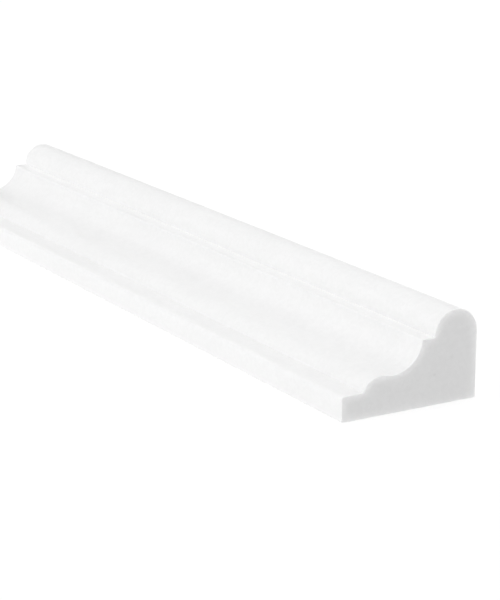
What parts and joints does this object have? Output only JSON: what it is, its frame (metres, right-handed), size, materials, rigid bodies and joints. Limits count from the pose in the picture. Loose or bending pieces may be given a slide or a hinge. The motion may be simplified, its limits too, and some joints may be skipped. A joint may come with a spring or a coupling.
{
  "type": "crown moulding length",
  "caption": "Short straight length of white marble crown moulding with a round nose, step, cove, bead and fillet, flat at the back and sawn square at both ends.",
  "frame": {"origin": "middle of the flat back, which is the face it rests on and the face that goes against the wall", "axes": "+X along the length; +Y across the back from the thin lower edge to the thick nosed edge, which is upwards once fixed; +Z out of the wall"},
  "size_m": [0.305, 0.05, 0.03],
  "materials": {
    "white_marble": "honed"
  },
  "bodies": {
    "root": {"crown_moulding": "white_marble"}
  },
  "joints": []
}
